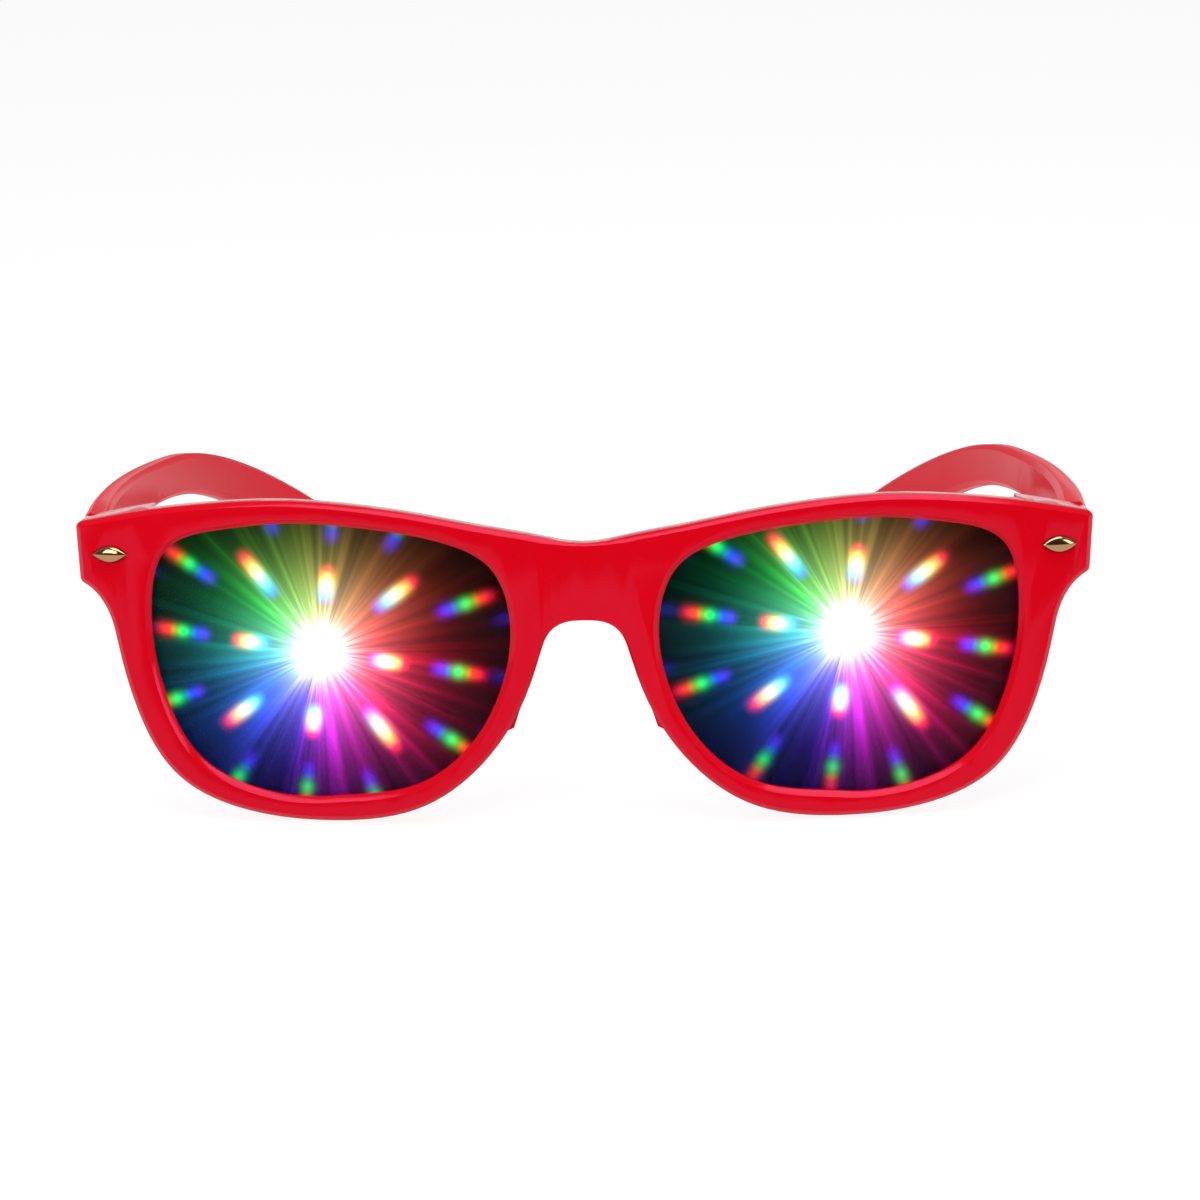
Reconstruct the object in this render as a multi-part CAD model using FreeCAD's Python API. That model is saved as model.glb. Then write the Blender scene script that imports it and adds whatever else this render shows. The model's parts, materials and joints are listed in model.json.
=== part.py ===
import FreeCAD, Part
import math
import os
from FreeCAD import Placement, Rotation, Vector

# Diffraction glasses: a moulded front, two folding temples, screwed three-barrel hinges,
# and in each rim a clear lens with a cross-ruled diffraction film bonded behind it.
# All sizes are in millimetres.
#
# The parts are drawn level: +X to the wearer's left, +Y from the front towards the ears,
# +Z up, with the lowest point of the rims near z = 0 and the bridge at x = 0. At the end
# everything is leaned back, until the rims and the temple tips stand on one table.
# Left means the wearer's left.

# Front, seen from the front
lens_width = 51.6
lens_height = 39.4
bridge_width = 21.2
end_piece_width = 10.8
bridge_height = 11.0
bridge_dip = 2.95
rim_width_top = 3.25
rim_width_bottom = 3.5
rim_width_nose = 3.7
rim_width_inner_corner = 3.1
rim_width_outer_corner = 4.3
rim_width_side = 4.75
end_piece_height = 8.5
end_piece_draft = 0.5
end_piece_below_brow = 3.35
end_sweep_drop = 9.2
end_corner_radius = 1.0
arch_half_width = 6.3
arch_shoulder_drop = 4.6

# Front, seen from above
face_radius = 337.0
front_thickness = 4.4
front_edge_bevel = 0.7
back_edge_bevel = 0.5
butt_edge_bevel = 0.25
lens_edge_bevel = 0.8
end_block_width = 10.6
end_block_depth = 8.0
end_block_root_bevel = 0.8
bridge_scoop_radius = 60.0
bridge_scoop_depth_top = 0.58
bridge_scoop_depth_bottom = 0.33

# Nose pads, moulded with the front
pad_height = 13.0
pad_width = 3.4
pad_reach = 5.2
pad_flare = 2.0
pad_root = 0.8
pad_edge_bevel = 0.9

# Lenses and their films
lens_lip = 1.6
lens_thickness = 1.0
film_thickness = 0.15
film_bond = 0.02
film_inset = 0.4
groove_depth = 1.0
lens_edge_gap = 0.1
lens_face_gap = 0.05

# Temples
temple_height_hinge = 9.6
temple_height_waist = 6.9
temple_tip_height = 8.2
temple_thickness_hinge = 3.8
temple_thickness_tip = 3.0
temple_top_above_lens = 0.4
temple_setback = 0.1
temple_straight_top = 77.0
ear_bend_radius = 103.0
ear_bend_length = 61.0
temple_splay = 5.0
hinge_straight = 11.0
bow_radius_front = 330.0
bow_length_front = 36.0
bow_radius_middle = 190.0
bow_length_middle = 39.0
bow_radius_ear = 150.0
temple_edge_bevel = 0.8
butt_gap = 0.1

# Hinges
barrel_radius = 1.35
barrel_stand_off = 1.5
barrel_height = 2.0
barrel_gap = 0.06
barrel_notch_gap = 0.12
leaf_thickness = 1.0
leaf_corner_radius = 0.6
front_leaf_width = 4.4
temple_leaf_length = 8.6
pivot_radius = 0.7
pivot_running_gap = 0.05
pivot_thread_gap = 0.02
pivot_head_radius = 1.0
pivot_head_height = 0.6
pivot_head_gap = 0.03
leaf_screw_radius = 0.55
leaf_screw_head_radius = 0.9
leaf_screw_head_height = 0.45
leaf_screw_gap = 0.02
front_screw_length = 4.0
temple_screw_length = 3.0
front_screw_from_axis = 3.0
front_screw_pitch = 3.2
temple_screw_from_axis = 4.0
temple_screw_pitch = 3.0
screw_slot_width = 0.35
screw_slot_depth = 0.22

# Studs on the end pieces
stud_width = 5.2
stud_height = 2.4
stud_rise = 0.75
stud_seat_depth = 0.3
stud_pin_radius = 0.6
stud_pin_length = 2.2
stud_gap = 0.03
stud_inset = 5.0
stud_below_lens_top = 4.6

# Lens opening, as shares of its width and height from the nose side and the bottom
EYE = ((0.512, 0.0), (0.72, 0.030), (0.872, 0.140), (0.969, 0.381), (1.0, 0.685), (0.951, 0.905),
       (0.793, 0.977), (0.610, 1.0), (0.395, 0.981), (0.182, 0.929), (0.058, 0.845), (0.0, 0.642),
       (0.025, 0.406), (0.109, 0.200), (0.270, 0.043))

# Rim widths by point of the lens opening, from its outer side down and round to the nose
RIM_WIDTHS = ((3, rim_width_side), (2, rim_width_outer_corner), (1, rim_width_bottom), (0, rim_width_bottom),
              (14, (rim_width_bottom + rim_width_inner_corner) / 2), (13, rim_width_inner_corner),
              (12, rim_width_nose))
NOSE_SIDE = EYE[12]

# Brow line, as shares of the half width and of its rise over the bridge
BROW = ((0.048, 0.056), (0.096, 0.177), (0.174, 0.339), (0.329, 0.685), (0.485, 0.927),
        (0.589, 1.0), (0.733, 0.927), (0.836, 0.798), (0.930, 0.620), (1.0, 0.460))

# Sweep from the end piece into the rim, as shares of the overhang and of the drop
SWEEP = ((0.495, 0.25), (0.225, 0.554), (0.045, 1.0))

# Arch over the nose, from the middle, as shares of its half width and shoulder drop
ARCH = ((0.0, 0.0), (0.56, 0.12), (0.81, 0.40), (1.0, 1.0))

front_width = bridge_width + 2 * (lens_width + end_piece_width)
half_width = front_width / 2
lens_inner = bridge_width / 2
lens_outer = lens_inner + lens_width
lens_bottom = rim_width_bottom
lens_top = lens_bottom + lens_height
brow_top = lens_top + rim_width_top
bridge_top = lens_top - bridge_dip
arch_top = bridge_top - bridge_height
side_x = lens_outer + rim_width_side
end_top = brow_top - end_piece_below_brow
toe_x = half_width - end_piece_draft
toe_z = end_top - end_piece_height
face_at_end = face_radius - math.sqrt(face_radius ** 2 - half_width ** 2)
butt_y = face_at_end + end_block_depth
temple_top = lens_top + temple_top_above_lens
temple_bottom = temple_top - temple_height_hinge
hinge_z = temple_top - temple_height_hinge / 2
far = 2 * front_width
bow_points = 5
sharp_angle = math.radians(15)


def closed_spline(points):
    curve = Part.BSplineCurve()
    curve.interpolate(Points=points, PeriodicFlag=True)
    return curve


def open_spline(points, start=None, end=None):
    curve = Part.BSplineCurve()
    if start is None:
        curve.interpolate(Points=points)
    else:
        curve.interpolate(Points=points, InitialTangent=start, FinalTangent=end)
    return curve


def line(a, b):
    return Part.LineSegment(a, b).toShape()


def prism(edges, direction):
    return Part.Face(Part.Wire(edges)).extrude(direction)


def mirrored(shape):
    return shape.mirror(Vector(0, 0, 0), Vector(1, 0, 0))


def face_drum(depth):
    """The space behind the curved face, from a depth under it on."""
    return Part.makeCylinder(face_radius - depth, far, Vector(0, face_radius, -far / 2))


eye_curve = closed_spline([Vector(lens_inner + u * lens_width, 0, lens_bottom + v * lens_height) for u, v in EYE])


def eye_offset_point(u, v, offset):
    """The point at an offset outside the lens opening, across from one of its points."""
    point = Vector(lens_inner + u * lens_width, 0, lens_bottom + v * lens_height)
    along = eye_curve.tangent(eye_curve.parameter(point))[0]
    across = Vector(along.z, 0, -along.x)
    middle = Vector((lens_inner + lens_outer) / 2, 0, (lens_bottom + lens_top) / 2)
    if across.dot(point - middle) < 0:
        across = across * -1
    return point + across * offset


def eye_prism(offset):
    """The lens opening, made larger all round by an offset, as a long block along Y."""
    curve = closed_spline([eye_offset_point(u, v, offset) for u, v in EYE])
    edge = curve.toShape()
    edge.translate(Vector(0, -front_width / 4, 0))
    return prism([edge], Vector(0, front_width / 2, 0))


def points_on(edge):
    first, last = edge.ParameterRange
    return [edge.valueAt(first + (last - first) * k / 4) for k in range(5)]


def edges_where(shape, test):
    """The edges of a shape all along which a test of a point holds."""
    return [edge for edge in shape.Edges if all(test(point) for point in points_on(edge))]


def near(a, b):
    return abs(a - b) < 1e-3


def sharp_edges(shape):
    """The edges where two faces meet at an angle, and not in one smooth surface."""
    sharp = []
    for edge in shape.Edges:
        point = points_on(edge)[2]
        normals = [face.normalAt(*face.Surface.parameter(point)) for face in shape.ancestorsOfType(edge, Part.Face)]
        if len(normals) == 2 and normals[0].getAngle(normals[1]) > sharp_angle:
            sharp.append(edge)
    return sharp


def on_drum(depth):
    return lambda point: near(math.hypot(point.x, point.y - face_radius), face_radius - depth)


def frame_at_face(x, z):
    """A placement on the face: local X along it, local Y straight into it, local Z up."""
    turn = math.degrees(math.asin(x / face_radius))
    spot = Vector(x, face_radius - math.sqrt(face_radius ** 2 - x ** 2), z)
    return Placement(spot, Rotation(Vector(0, 0, 1), turn))


# Hinge lines, seen from above on the left side
splay = math.radians(temple_splay)
temple_start = Vector(half_width - temple_setback, butt_y + butt_gap, 0)
axis_y = butt_y + barrel_stand_off
axis_across = temple_thickness_hinge + barrel_stand_off - (axis_y - temple_start.y) * math.sin(splay)
axis_x = temple_start.x - axis_across / math.cos(splay)
hinge_height = 3 * barrel_height + 2 * barrel_gap
hinge_top = hinge_height / 2
front_hinge_frame = Placement(Vector(axis_x, axis_y, hinge_z), Rotation())
temple_hinge_frame = Placement(Vector(axis_x, axis_y, hinge_z), Rotation(Vector(0, 0, 1), -temple_splay))


def placed(shape, placement):
    copy = shape.copy()
    copy.Placement = placement.multiply(copy.Placement)
    return copy


def cylinder(radius, bottom, top, x=0.0, y=0.0):
    return Part.makeCylinder(radius, top - bottom, Vector(x, y, bottom))


def box(x, y, z):
    """A box between pairs of coordinates."""
    return Part.makeBox(x[1] - x[0], y[1] - y[0], z[1] - z[0], Vector(x[0], y[0], z[0]))


def turned(profile):
    """A solid turned round the Z axis from points (radius, height)."""
    corners = [Vector(r, 0, z) for r, z in profile]
    edges = [line(a, b) for a, b in zip(corners, corners[1:] + corners[:1])]
    return Part.Face(Part.Wire(edges)).revolve(Vector(0, 0, 0), Vector(0, 0, 1), 360)


def outline_edges():
    """The outline of the front: brow, end pieces, and the rims with the arch over the nose."""
    def flipped(point):
        return Vector(-point.x, point.y, point.z)

    rise = brow_top - bridge_top
    brow = [Vector(u * half_width, 0, bridge_top + v * rise) for u, v in BROW]
    brow[-1].z = end_top
    top = [flipped(p) for p in reversed(brow)] + [Vector(0, 0, bridge_top)] + brow

    overhang = toe_x - side_x
    toe = Vector(toe_x, 0, toe_z)
    sweep = [Vector(side_x + u * overhang, 0, toe_z - v * end_sweep_drop) for u, v in SWEEP]
    rim = [eye_offset_point(*EYE[index], width) for index, width in RIM_WIDTHS]
    arch = [Vector(u * arch_half_width, 0, arch_top - v * arch_shoulder_drop) for u, v in reversed(ARCH[1:])]
    half = [toe] + sweep + rim + arch
    low = half + [Vector(0, 0, arch_top)] + [flipped(p) for p in reversed(half)]
    return [open_spline(top).toShape(), line(top[-1], low[0]), open_spline(low).toShape(), line(low[-1], top[0])]


def front_blank():
    """The curved front with its end blocks and lens grooves, before the lens openings."""
    depth = butt_y + front_thickness
    plate = prism(outline_edges(), Vector(0, depth, 0))
    plate.translate(Vector(0, butt_y - depth, 0))
    corners = [edge for edge in plate.Edges if near(edge.Length, depth)]
    plate = plate.makeFillet(end_corner_radius, corners)
    above = (temple_bottom, brow_top + rim_width_top)
    block = box((half_width - end_block_width, far), (-far, far), above)
    hollow = face_drum(front_thickness).cut(block).cut(mirrored(block))
    groove = lens_groove()
    blank = plate.common(face_drum(0)).cut(hollow).cut([groove, mirrored(groove)]).Solids[0]

    back = on_drum(front_thickness)
    block_side = half_width - end_block_width
    roots = edges_where(blank, lambda p: back(p) and (near(abs(p.x), block_side) or near(p.z, temple_bottom)))
    blank = blank.makeChamfer(end_block_root_bevel, roots)
    blank = blank.makeChamfer(front_edge_bevel, edges_where(blank, on_drum(0)))
    outer = [edge for edge in edges_where(blank, back) if edge.Length > half_width]
    blank = blank.makeChamfer(back_edge_bevel, outer)
    return blank.makeChamfer(butt_edge_bevel, edges_where(blank, lambda p: near(p.y, butt_y)))


def lens_groove():
    width = lens_thickness + film_bond + film_thickness + 2 * lens_face_gap
    ring = face_drum(lens_lip).cut(face_drum(lens_lip + width))
    return eye_prism(groove_depth).common(ring)


def bridge_scoop():
    """The shallow hollow across the bridge, deeper at the brow than at the arch."""
    height = bridge_top - arch_top
    lean = math.degrees(math.atan((bridge_scoop_depth_top - bridge_scoop_depth_bottom) / height))
    scoop = Part.makeCylinder(bridge_scoop_radius, 4 * height, Vector(0, 0, -2 * height))
    scoop.rotate(Vector(0, 0, 0), Vector(1, 0, 0), lean)
    depth = (bridge_scoop_depth_top + bridge_scoop_depth_bottom) / 2
    scoop.translate(Vector(0, depth - bridge_scoop_radius, (bridge_top + arch_top) / 2))
    return scoop


def nose_pad():
    """The left pad: a rounded fin on the back of the rim that flares away from the nose."""
    centre = eye_offset_point(*NOSE_SIDE, rim_width_nose / 2)
    along = eye_curve.tangent(eye_curve.parameter(eye_offset_point(*NOSE_SIDE, 0)))[0]
    outward = Vector(abs(along.z), 0, -math.copysign(along.x, along.x * along.z))
    height = pad_reach + pad_root
    back = Vector(0, height, 0) + outward * pad_flare
    start = centre + Vector(0, front_thickness - pad_root, 0) - outward * (pad_width / 2)
    ends = [start - along * (pad_height / 2), start + along * (pad_height / 2)]
    hump = Part.Arc(ends[0], start + back, ends[1]).toShape()
    fin = prism([hump, line(ends[1], ends[0])], outward * pad_width)
    return fin.makeChamfer(pad_edge_bevel, [edge for edge in sharp_edges(fin) if edge.Length > pad_height + pad_root])


def stud_blank(gap):
    """A pointed oval stud, arched towards -Y, with its inlaid base and its pin, or with a gap its pocket."""
    long, short = stud_width / 2 + gap, stud_height / 2 + gap
    base = stud_seat_depth + gap
    tips = [Vector(-long, base, 0), Vector(long, base, 0)]
    oval = [Part.Arc(tips[0], Vector(0, base, short), tips[1]).toShape(),
            Part.Arc(tips[1], Vector(0, base, -short), tips[0]).toShape()]
    arch = (long ** 2 + stud_rise ** 2) / (2 * stud_rise)
    crown = Part.makeCylinder(arch, 4 * short, Vector(0, arch - stud_rise, -2 * short))
    pin = Part.makeCylinder(stud_pin_radius + gap, base + stud_pin_length, Vector(0, 0, 0), Vector(0, 1, 0))
    return prism(oval, Vector(0, -base - stud_rise, 0)).common(crown).fuse(pin).removeSplitter()


stud_frame = frame_at_face(half_width - stud_inset, lens_top - stud_below_lens_top)


def screw_blank(length, gap):
    """A pan-head screw along +Z with the underside of its head at z = 0, or with a gap its hole."""
    shank = leaf_screw_radius + gap
    head = leaf_screw_head_radius + gap
    profile = ((0, -leaf_screw_head_height), (head, -leaf_screw_head_height), (head, 0), (shank, 0),
               (shank, length + gap), (0, length + gap))
    return turned(profile)


def front_screw_frames():
    towards_front = Rotation(Vector(1, 0, 0), 90)
    spots = [Vector(-front_screw_from_axis, leaf_thickness - barrel_stand_off, side * front_screw_pitch / 2)
             for side in (-1, 1)]
    return [front_hinge_frame.multiply(Placement(spot, towards_front)) for spot in spots]


def temple_screw_frames():
    outwards = Rotation(Vector(0, 1, 0), 90)
    spots = [Vector(barrel_stand_off - leaf_thickness, temple_screw_from_axis + step * temple_screw_pitch, 0)
             for step in (0, 1)]
    return [temple_hinge_frame.multiply(Placement(spot, outwards)) for spot in spots]


def front_leaf_screws():
    screw = screw_blank(front_screw_length, 0)
    return Part.makeCompound([placed(screw, frame) for frame in front_screw_frames()])


def temple_leaf_screws():
    screw = screw_blank(temple_screw_length, 0)
    return Part.makeCompound([placed(screw, frame) for frame in temple_screw_frames()])


def front_holes():
    """What the studs and the leaf screws take out of the left end piece."""
    holes = [placed(stud_blank(stud_gap), stud_frame)]
    holes += [placed(screw_blank(front_screw_length, leaf_screw_gap), frame) for frame in front_screw_frames()]
    return holes


def frame_front():
    pad = nose_pad()
    opening = eye_prism(0)
    front = front_blank().fuse([pad, mirrored(pad)]).cut([opening, mirrored(opening)]).Solids[0]
    loops = [edge for edge in edges_where(front, on_drum(0)) if edge.isClosed()]
    front = front.makeChamfer(lens_edge_bevel, loops)
    left = front_holes()
    return front.cut([bridge_scoop()] + left + [mirrored(hole) for hole in left]).Solids[0]


def lens_shell(near_depth, thickness, outset):
    shell = face_drum(near_depth).cut(face_drum(near_depth + thickness))
    return eye_prism(outset).common(shell)


def lens():
    return lens_shell(lens_lip + lens_face_gap, lens_thickness, groove_depth - lens_edge_gap)


def grating_film():
    depth = lens_lip + lens_face_gap + lens_thickness + film_bond
    return lens_shell(depth, film_thickness, groove_depth - lens_edge_gap - film_inset)


def temple_side():
    """The left temple seen from the side, as a long block along X."""
    total = temple_straight_top + ear_bend_length
    start = temple_start.y

    def top_at(run):
        bend = max(0.0, run - temple_straight_top) / ear_bend_radius
        y = start + min(run, temple_straight_top) + ear_bend_radius * math.sin(bend)
        z = temple_top - ear_bend_radius * (1 - math.cos(bend))
        return Vector(0, y, z), Vector(0, math.cos(bend), -math.sin(bend)), Vector(0, -math.sin(bend), -math.cos(bend))

    tip_radius = temple_tip_height / 2
    end_run = total - tip_radius
    lower = []
    for share, rest in ((0.0, 1.0), (0.30, 0.52), (0.62, 0.0)):
        point, along, down = top_at(share * total)
        lower.append(point + down * (temple_height_waist + rest * (temple_height_hinge - temple_height_waist)))
    for share, grown in ((0.80, 0.38), (1.0, 1.0)):
        point, along, down = top_at(share * end_run)
        lower.append(point + down * (temple_height_waist + grown * (temple_tip_height - temple_height_waist)))
    corner = top_at(0)[0]
    knee = top_at(temple_straight_top)[0]
    bend_middle = top_at((temple_straight_top + end_run) / 2)[0]
    end, along, down = top_at(end_run)
    nose = end + along * tip_radius + down * tip_radius
    edges = [line(corner, knee), Part.Arc(knee, bend_middle, end).toShape(), Part.Arc(end, nose, lower[-1]).toShape(),
             open_spline(lower, Vector(0, 1, 0), along).toShape(), line(lower[0], corner)]
    return prism(edges, Vector(front_width, 0, 0))


def temple_plan():
    """The left temple seen from above, as a tall block along Z."""
    reach = temple_straight_top + ear_bend_length + temple_tip_height
    rest = reach - hinge_straight - bow_length_front - bow_length_middle
    bows = ((bow_radius_front, bow_length_front), (bow_radius_middle, bow_length_middle), (bow_radius_ear, rest))

    def outer_at(run):
        heading = splay
        spot = temple_start + Vector(math.sin(heading), math.cos(heading), 0) * hinge_straight
        left_over = run - hinge_straight
        for radius, length in bows:
            turn = min(left_over, length) / radius
            centre = spot + Vector(-math.cos(heading), math.sin(heading), 0) * radius
            heading -= turn
            spot = centre + Vector(math.cos(heading), -math.sin(heading), 0) * radius
            left_over = max(0.0, left_over - length)
        return spot, heading

    def inner_at(run):
        spot, heading = outer_at(run)
        thinned = (temple_thickness_hinge - temple_thickness_tip) * (run - hinge_straight) / (reach - hinge_straight)
        return spot + Vector(-math.cos(heading), math.sin(heading), 0) * (temple_thickness_hinge - thinned)

    ahead = Vector(math.sin(splay), math.cos(splay), 0)
    heading = outer_at(reach)[1]
    runs = [hinge_straight + (reach - hinge_straight) * k / bow_points for k in range(bow_points + 1)]
    sides = []
    for side_at in (lambda run: outer_at(run)[0], inner_at):
        points = [side_at(run) for run in runs]
        bowed = open_spline(points, ahead, Vector(math.sin(heading), math.cos(heading), 0))
        sides.append((points[0] - ahead * (hinge_straight + barrel_stand_off), points, bowed.toShape()))
    (outer_start, outer, outer_edge), (inner_start, inner, inner_edge) = sides
    edges = [line(outer_start, outer[0]), outer_edge, line(outer[-1], inner[-1]), inner_edge,
             line(inner[0], inner_start), line(inner_start, outer_start)]
    return prism(edges, Vector(0, 0, front_width))


def temple():
    body = temple_side().common(temple_plan()).Solids[0]
    rounded = [edge for edge in sharp_edges(body) if not all(near(p.y, temple_start.y) for p in points_on(edge))]
    body = body.makeChamfer(temple_edge_bevel, rounded)
    return body.cut([placed(screw_blank(temple_screw_length, leaf_screw_gap), f) for f in temple_screw_frames()])


def barrel(level):
    """One of the three barrels, counted from the lowest one."""
    bottom = -hinge_top + level * (barrel_height + barrel_gap)
    return cylinder(barrel_radius, bottom, bottom + barrel_height)


def barrel_notch(level):
    bottom = -hinge_top + level * (barrel_height + barrel_gap)
    return cylinder(barrel_radius + barrel_notch_gap, bottom - barrel_gap, bottom + barrel_height + barrel_gap)


def rounded_plate(x, y, z, rounded):
    plate = box(x, y, z)
    return plate.makeFillet(leaf_corner_radius, edges_where(plate, rounded))


def front_leaf():
    """The hinge leaf on the back of the end block, with the top and the bottom barrel."""
    heights = (-hinge_top, hinge_top)
    depths = (-barrel_stand_off, leaf_thickness - barrel_stand_off)
    plate = rounded_plate((-front_leaf_width, 0), depths, heights,
                          lambda p: near(p.x, -front_leaf_width) and near(abs(p.z), hinge_top))
    leaf = plate.cut(barrel_notch(1)).fuse([barrel(0), barrel(2)]).removeSplitter()
    bore = pivot_radius + pivot_thread_gap
    counterbore = pivot_head_radius + pivot_head_gap
    leaf = leaf.cut([cylinder(bore, -hinge_top, hinge_top),
                     cylinder(counterbore, hinge_top - pivot_head_height - pivot_head_gap, hinge_top)])
    back = front_hinge_frame.inverse()
    holes = [placed(screw_blank(front_screw_length, leaf_screw_gap), back.multiply(f)) for f in front_screw_frames()]
    return placed(leaf.cut(holes), front_hinge_frame)


def temple_leaf():
    """The hinge leaf on the inside of the temple, with the middle barrel."""
    heights = (-hinge_top, hinge_top)
    widths = (barrel_stand_off - leaf_thickness, barrel_stand_off)
    plate = rounded_plate(widths, (0, temple_leaf_length), heights,
                          lambda p: near(p.y, temple_leaf_length) and near(abs(p.z), hinge_top))
    leaf = plate.cut([barrel_notch(0), barrel_notch(2)]).fuse(barrel(1)).removeSplitter()
    leaf = leaf.cut(cylinder(pivot_radius + pivot_running_gap, -hinge_top, hinge_top))
    back = temple_hinge_frame.inverse()
    holes = [placed(screw_blank(temple_screw_length, leaf_screw_gap), back.multiply(f)) for f in temple_screw_frames()]
    return placed(leaf.cut(holes), temple_hinge_frame)


def hinge_screw():
    """The pivot: its head sits in the top barrel and its thread in the lowest one."""
    profile = ((0, -hinge_top + pivot_head_gap), (pivot_radius, -hinge_top + pivot_head_gap),
               (pivot_radius, hinge_top - pivot_head_height), (pivot_head_radius, hinge_top - pivot_head_height),
               (pivot_head_radius, hinge_top), (0, hinge_top))
    half = screw_slot_width / 2
    slot = box((-pivot_head_radius, pivot_head_radius), (-half, half), (hinge_top - screw_slot_depth, hinge_top))
    return placed(turned(profile).cut(slot), front_hinge_frame)


def lowest(shape, lean):
    copy = shape.copy()
    copy.rotate(Vector(0, 0, 0), Vector(1, 0, 0), -lean)
    return copy.optimalBoundingBox().ZMin


def resting_lean(front, side):
    """The lean in degrees at which the rims and the temple tips reach the same level."""
    low, high = 0.0, 20.0
    while high - low > 1e-5:
        middle = (low + high) / 2
        if lowest(side, middle) > lowest(front, middle):
            low = middle
        else:
            high = middle
    return (low + high) / 2


def pair(name, shape):
    return [("left_" + name, shape), ("right_" + name, mirrored(shape))]


nodes = [("frame_front", frame_front())]
nodes += pair("lens", lens())
nodes += pair("grating_film", grating_film())
nodes += pair("front_stud", placed(stud_blank(0), stud_frame))
nodes += pair("hinge_front_leaf", front_leaf())
nodes += pair("front_leaf_screws", front_leaf_screws())
nodes += pair("hinge_screw", hinge_screw())
nodes += pair("temple", temple())
nodes += pair("hinge_temple_leaf", temple_leaf())
nodes += pair("temple_leaf_screws", temple_leaf_screws())
shapes = dict(nodes)

# The glasses lean back on the rims and the temple tips, centred over the origin
lean = resting_lean(shapes["frame_front"], shapes["left_temple"])
leant = Placement(Vector(0, 0, 0), Rotation(Vector(1, 0, 0), -lean))
outer_shapes = [placed(shapes[name], leant) for name in ("frame_front", "left_temple")]
boxes = [shape.optimalBoundingBox() for shape in outer_shapes]
front_end = min(bounds.YMin for bounds in boxes)
back_end = max(bounds.YMax for bounds in boxes)
floor = min(bounds.ZMin for bounds in boxes)
resting = Placement(Vector(0, -(front_end + back_end) / 2, -floor), leant.Rotation)

os.makedirs("parts", exist_ok=True)
for name, shape in nodes:
    placed(shape, resting).exportStep("parts/" + name + ".step")

print("lean in degrees", round(lean, 3))
print("moved by", [round(value, 4) for value in resting.Base])
print("left hinge axis, level", [round(value, 4) for value in front_hinge_frame.Base])
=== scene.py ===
import json
import math

import bmesh
import bpy
from mathutils import Matrix, Vector

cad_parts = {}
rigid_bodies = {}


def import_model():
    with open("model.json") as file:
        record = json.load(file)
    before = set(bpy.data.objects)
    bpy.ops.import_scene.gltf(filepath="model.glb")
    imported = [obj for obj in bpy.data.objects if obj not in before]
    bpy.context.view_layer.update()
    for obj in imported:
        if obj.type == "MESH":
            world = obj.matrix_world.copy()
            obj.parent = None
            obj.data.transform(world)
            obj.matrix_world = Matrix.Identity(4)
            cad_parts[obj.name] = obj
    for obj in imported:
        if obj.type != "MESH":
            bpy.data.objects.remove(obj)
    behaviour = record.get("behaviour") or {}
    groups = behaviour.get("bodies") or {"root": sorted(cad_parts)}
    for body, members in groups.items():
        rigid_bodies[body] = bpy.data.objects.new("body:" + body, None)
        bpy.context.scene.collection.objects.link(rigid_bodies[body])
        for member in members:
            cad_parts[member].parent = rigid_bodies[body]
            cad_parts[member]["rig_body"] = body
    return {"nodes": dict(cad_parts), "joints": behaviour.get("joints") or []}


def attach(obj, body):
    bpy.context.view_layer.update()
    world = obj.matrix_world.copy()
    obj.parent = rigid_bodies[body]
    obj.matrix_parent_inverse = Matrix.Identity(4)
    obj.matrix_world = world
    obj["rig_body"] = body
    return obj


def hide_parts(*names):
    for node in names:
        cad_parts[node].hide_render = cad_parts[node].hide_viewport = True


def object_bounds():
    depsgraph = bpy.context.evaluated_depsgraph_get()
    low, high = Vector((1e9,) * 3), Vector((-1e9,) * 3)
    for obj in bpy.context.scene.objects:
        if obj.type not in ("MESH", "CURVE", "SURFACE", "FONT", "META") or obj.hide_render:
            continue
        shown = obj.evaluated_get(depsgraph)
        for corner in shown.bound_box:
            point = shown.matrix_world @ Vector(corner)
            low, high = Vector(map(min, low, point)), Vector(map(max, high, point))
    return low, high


# Diffraction glasses: a glossy red moulded frame, clear lenses backed by a cross-ruled film that
# splits one bright light into a burst of coloured orders, plated studs and screwed steel hinges.
# The part's frame is in metres. Sizes here are in millimetres, and MM turns them.

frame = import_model()
CAD_LOW, CAD_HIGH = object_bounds()
MM = 0.001
SIDES = {"left": 1.0, "right": -1.0}
MATH = "ShaderNodeMath"
VECTOR_MATH = "ShaderNodeVectorMath"

# Left hinge, level. The part is drawn level and then leans back on the table about the X axis
HINGE_LEVEL = Vector((67.7022, 17.5015, 38.5))

# Middle of the burst seen in each lens, level, from the middle of the bridge
BURST_MIDDLE = {"left": Vector((37.6, 0.0, 26.4)), "right": Vector((-37.9, 0.0, 24.2))}

# Photographer's camera, level, aimed down at the front
CAMERA_PLACE = Vector((6.6, -500.0, 105.3))
CAMERA_YAW = math.radians(-0.498)
CAMERA_PITCH = math.radians(-8.345)
CAMERA_ROLL = math.radians(-0.69)
CAMERA_LENS = 107.17
CAMERA_SENSOR = 36.0
CAMERA_NEAR, CAMERA_FAR = 0.01, 50.0


def level_frame():
    """The lean and the shift from the level drawing to the leaning part, read from a hinge axis."""
    joint = next(j for j in frame["joints"] if j["name"] == "left_hinge")
    lean = math.atan2(joint["axis"][1], joint["axis"][2])
    turn = Matrix.Rotation(-lean, 4, "X")
    base = Vector(joint["pos_m"]) / MM - turn @ HINGE_LEVEL
    return lean, base


LEAN, BASE = level_frame()
LEANING = Matrix.Rotation(-LEAN, 4, "X")


def placed(point):
    """A level point in millimetres as a point of the part, in metres."""
    return (LEANING @ Vector(point) + BASE) * MM


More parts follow.
